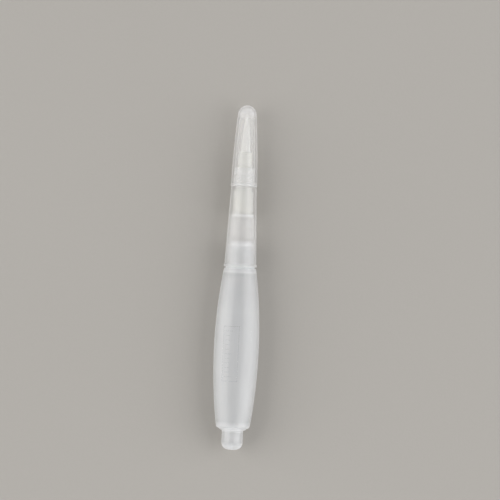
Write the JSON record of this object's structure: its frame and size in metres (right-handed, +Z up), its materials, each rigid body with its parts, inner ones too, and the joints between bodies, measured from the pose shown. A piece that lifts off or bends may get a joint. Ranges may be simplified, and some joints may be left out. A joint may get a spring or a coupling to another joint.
{
  "type": "water brush pen",
  "caption": "Squeeze-barrel water brush with a screw-on grip section, wick-fed nylon tuft and push-on cap.",
  "frame": {"origin": "under the middle of the closed pen's length, on the surface it lies on", "axes": "+Y along the pen towards the cap and tuft, +X across the barrel's wide way, +Z up, square to the barrel's flatter sides"},
  "size_m": [0.0188, 0.145, 0.015],
  "materials": {
    "frosted_barrel": "milky translucent soft polyethylene, frosted",
    "plug_plastic": "translucent soft plastic",
    "seal_silicone": "grey translucent silicone",
    "frosted_grip": "milky translucent polypropylene, frosted",
    "ferrule_plastic": "off-white polypropylene",
    "tuft_nylon": "off-white nylon filaments with a soft sheen",
    "core_fibre": "bonded polyester fibre",
    "wick_felt": "cream bonded felt",
    "retainer_plastic": "off-white polypropylene",
    "frosted_cap": "milky translucent polypropylene, satin"
  },
  "bodies": {
    "barrel": {"reservoir": "frosted_barrel", "neck_plug": "plug_plastic"},
    "ring": {"seal_ring": "seal_silicone"},
    "front": {"front_section": "frosted_grip", "ferrule": "ferrule_plastic", "bristle_tuft": "tuft_nylon", "feed_core": "core_fibre", "wick": "wick_felt", "wick_retainer": "retainer_plastic"},
    "cap": {"cap": "frosted_cap"}
  },
  "joints": [
    {"name": "section_travel", "type": "slide", "parent": "barrel", "child": "ring", "axis": [0, 1, 0], "range_m": [0, 0.012]},
    {"name": "section_turn", "type": "hinge", "parent": "ring", "child": "front", "pos_m": [0, 0, 0.0075], "axis": [0, 1, 0], "range_deg": [0, 2700]},
    {"name": "cap_pull", "type": "slide", "parent": "front", "child": "cap", "axis": [0, 1, 0], "range_m": [0, 0.04]}
  ],
  "couplings": [
    {"joint": "section_travel", "follows": "section_turn", "m_per_rad": 0.00025465}
  ]
}
